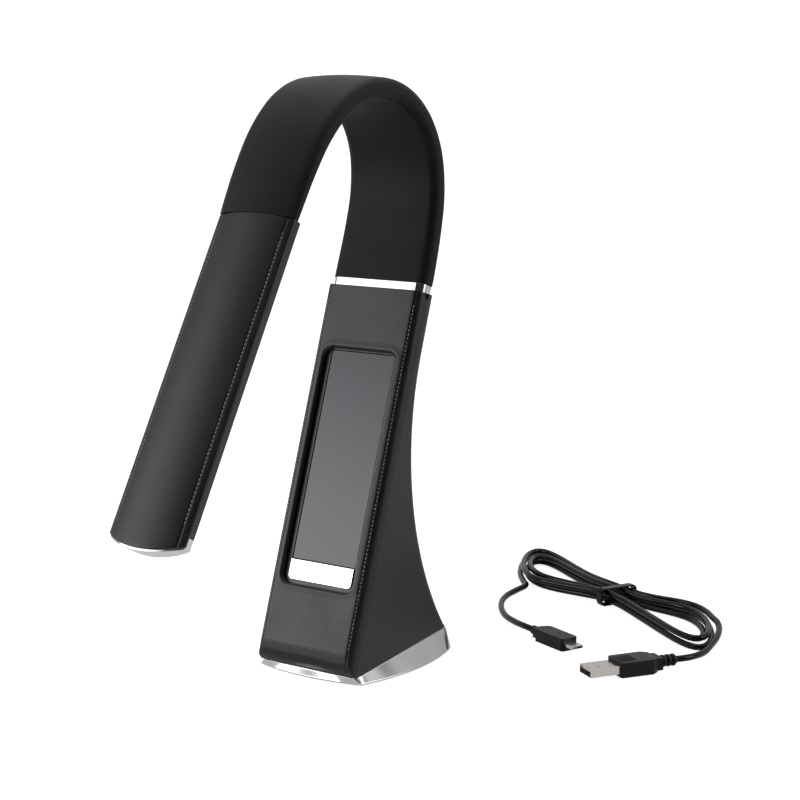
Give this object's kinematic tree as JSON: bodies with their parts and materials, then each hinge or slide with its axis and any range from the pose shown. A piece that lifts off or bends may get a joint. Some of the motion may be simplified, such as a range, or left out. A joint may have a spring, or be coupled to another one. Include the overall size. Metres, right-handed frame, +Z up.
{
  "type": "folding LED desk lamp",
  "caption": "Battery LED desk lamp: leaning clock tower on a heavy foot, flat bending neck, slim leather-clad light head and a tied USB lead.",
  "frame": {"origin": "centre of the foot on the table", "axes": "+X across the lamp to the right of someone facing its display, +Y to its back, +Z up"},
  "size_m": [0.1913, 0.408, 0.3031],
  "materials": {
    "rubber_pad": "matt",
    "steel_zinc": "plain",
    "chrome": "polished",
    "iron": "as cast",
    "shell_black": "fine matt texture",
    "leather": "fine grain, low sheen, stitched edges",
    "display_glass": "tinted, low gloss",
    "lcd": "dark",
    "board": "solder mask",
    "white_board": "white solder mask",
    "led": "phosphor yellow",
    "diffuser": "frosted white",
    "black_part": "satin",
    "battery_film": "shrink film",
    "silicone": "matt silicone",
    "lead_black": "glossy flexible PVC",
    "plug_black": "satin PVC",
    "pin_steel": "ground",
    "frame_grey": "dark grey, satin gloss"
  },
  "bodies": {
    "tower": {"rubber_pad": "rubber_pad", "base_plate": "steel_zinc", "foot_bezel": "chrome", "base_screws": "steel_zinc", "counterweight": "iron", "rear_shell": "shell_black", "front_bezel": "shell_black", "front_leather": "leather", "window_tray": "shell_black", "display_glass": "display_glass", "lcd_module": "lcd", "touch_plate": "chrome", "main_board": "board", "buzzer": "black_part", "battery": "battery_film", "charge_board": "board", "usb_socket": "steel_zinc", "key_board": "board", "collar": "chrome", "neck_bracket": "steel_zinc", "bracket_screws": "steel_zinc", "neck_sleeve": "silicone", "neck_lead": "lead_black", "pin_1": "pin_steel", "lead_hank": "lead_black", "lead_tail_small": "lead_black", "lead_tail_large": "lead_black", "hank_tie": "black_part", "small_plug": "plug_black", "small_plug_shell": "steel_zinc", "large_plug": "plug_black", "large_plug_shell": "steel_zinc"},
    "link_1_body": {"link_1": "steel_zinc", "pin_2": "pin_steel"},
    "link_2_body": {"link_2": "steel_zinc", "pin_3": "pin_steel"},
    "link_3_body": {"link_3": "steel_zinc", "pin_4": "pin_steel"},
    "link_4_body": {"link_4": "steel_zinc", "pin_5": "pin_steel"},
    "link_5_body": {"link_5": "steel_zinc", "pin_6": "pin_steel"},
    "link_6_body": {"link_6": "steel_zinc", "pin_7": "pin_steel"},
    "link_7_body": {"link_7": "steel_zinc", "pin_8": "pin_steel"},
    "head": {"head_leather": "leather", "head_frame": "frame_grey", "head_anchor": "steel_zinc", "head_screws": "steel_zinc", "led_board": "white_board", "leds": "led", "diffuser": "diffuser", "end_cap": "chrome"},
    "key_set_body": {"key_set": "black_part"},
    "key_up_body": {"key_up": "black_part"},
    "key_down_body": {"key_down": "black_part"}
  },
  "joints": [
    {"name": "neck_hinge_1", "type": "hinge", "parent": "tower", "child": "link_1_body", "pos_m": [0, 0.03222, 0.2213], "axis": [1, 0, 0], "range_deg": [-4.97, 0.53]},
    {"name": "neck_hinge_2", "type": "hinge", "parent": "link_1_body", "child": "link_2_body", "pos_m": [0, 0.03787, 0.24565], "axis": [1, 0, 0], "range_deg": [-17.81, 1.78]},
    {"name": "neck_hinge_3", "type": "hinge", "parent": "link_2_body", "child": "link_3_body", "pos_m": [0, 0.03476, 0.27046], "axis": [1, 0, 0], "range_deg": [-27.25, 2.65], "deforming": ["neck_sleeve", "neck_lead"]},
    {"name": "neck_hinge_4", "type": "hinge", "parent": "link_3_body", "child": "link_4_body", "pos_m": [0, 0.01932, 0.29012], "axis": [1, 0, 0], "range_deg": [-29.06, 2.87]},
    {"name": "neck_hinge_5", "type": "hinge", "parent": "link_4_body", "child": "link_5_body", "pos_m": [0, -0.00433, 0.2982], "axis": [1, 0, 0], "range_deg": [-24.93, 2.47]},
    {"name": "neck_hinge_6", "type": "hinge", "parent": "link_5_body", "child": "link_6_body", "pos_m": [0, -0.029, 0.2941], "axis": [1, 0, 0], "range_deg": [-23.78, 2.36]},
    {"name": "neck_hinge_7", "type": "hinge", "parent": "link_6_body", "child": "link_7_body", "pos_m": [0, -0.04911, 0.27925], "axis": [1, 0, 0], "range_deg": [-15.08, 1.51]},
    {"name": "neck_hinge_8", "type": "hinge", "parent": "link_7_body", "child": "head", "pos_m": [0, -0.06396, 0.25914], "axis": [1, 0, 0], "range_deg": [-5.76, 0.61]},
    {"name": "key_set_press", "type": "slide", "parent": "tower", "child": "key_set_body", "axis": [0, -1, 0], "range_m": [0, 0.0006], "stiffness_N_per_m": 1500, "springref_m": -0.0002},
    {"name": "key_up_press", "type": "slide", "parent": "tower", "child": "key_up_body", "axis": [0, -1, 0], "range_m": [0, 0.0006], "stiffness_N_per_m": 1500, "springref_m": -0.0002},
    {"name": "key_down_press", "type": "slide", "parent": "tower", "child": "key_down_body", "axis": [0, -1, 0], "range_m": [0, 0.0006], "stiffness_N_per_m": 1500, "springref_m": -0.0002}
  ],
  "couplings": [
    {"joint": "neck_hinge_1", "follows": "neck_hinge_3", "ratio": 0.18065},
    {"joint": "neck_hinge_2", "follows": "neck_hinge_3", "ratio": 0.65161},
    {"joint": "neck_hinge_4", "follows": "neck_hinge_3", "ratio": 1.0645},
    {"joint": "neck_hinge_5", "follows": "neck_hinge_3", "ratio": 0.9129},
    {"joint": "neck_hinge_6", "follows": "neck_hinge_3", "ratio": 0.87097},
    {"joint": "neck_hinge_7", "follows": "neck_hinge_3", "ratio": 0.55161},
    {"joint": "neck_hinge_8", "follows": "neck_hinge_3", "ratio": 0.20968}
  ]
}
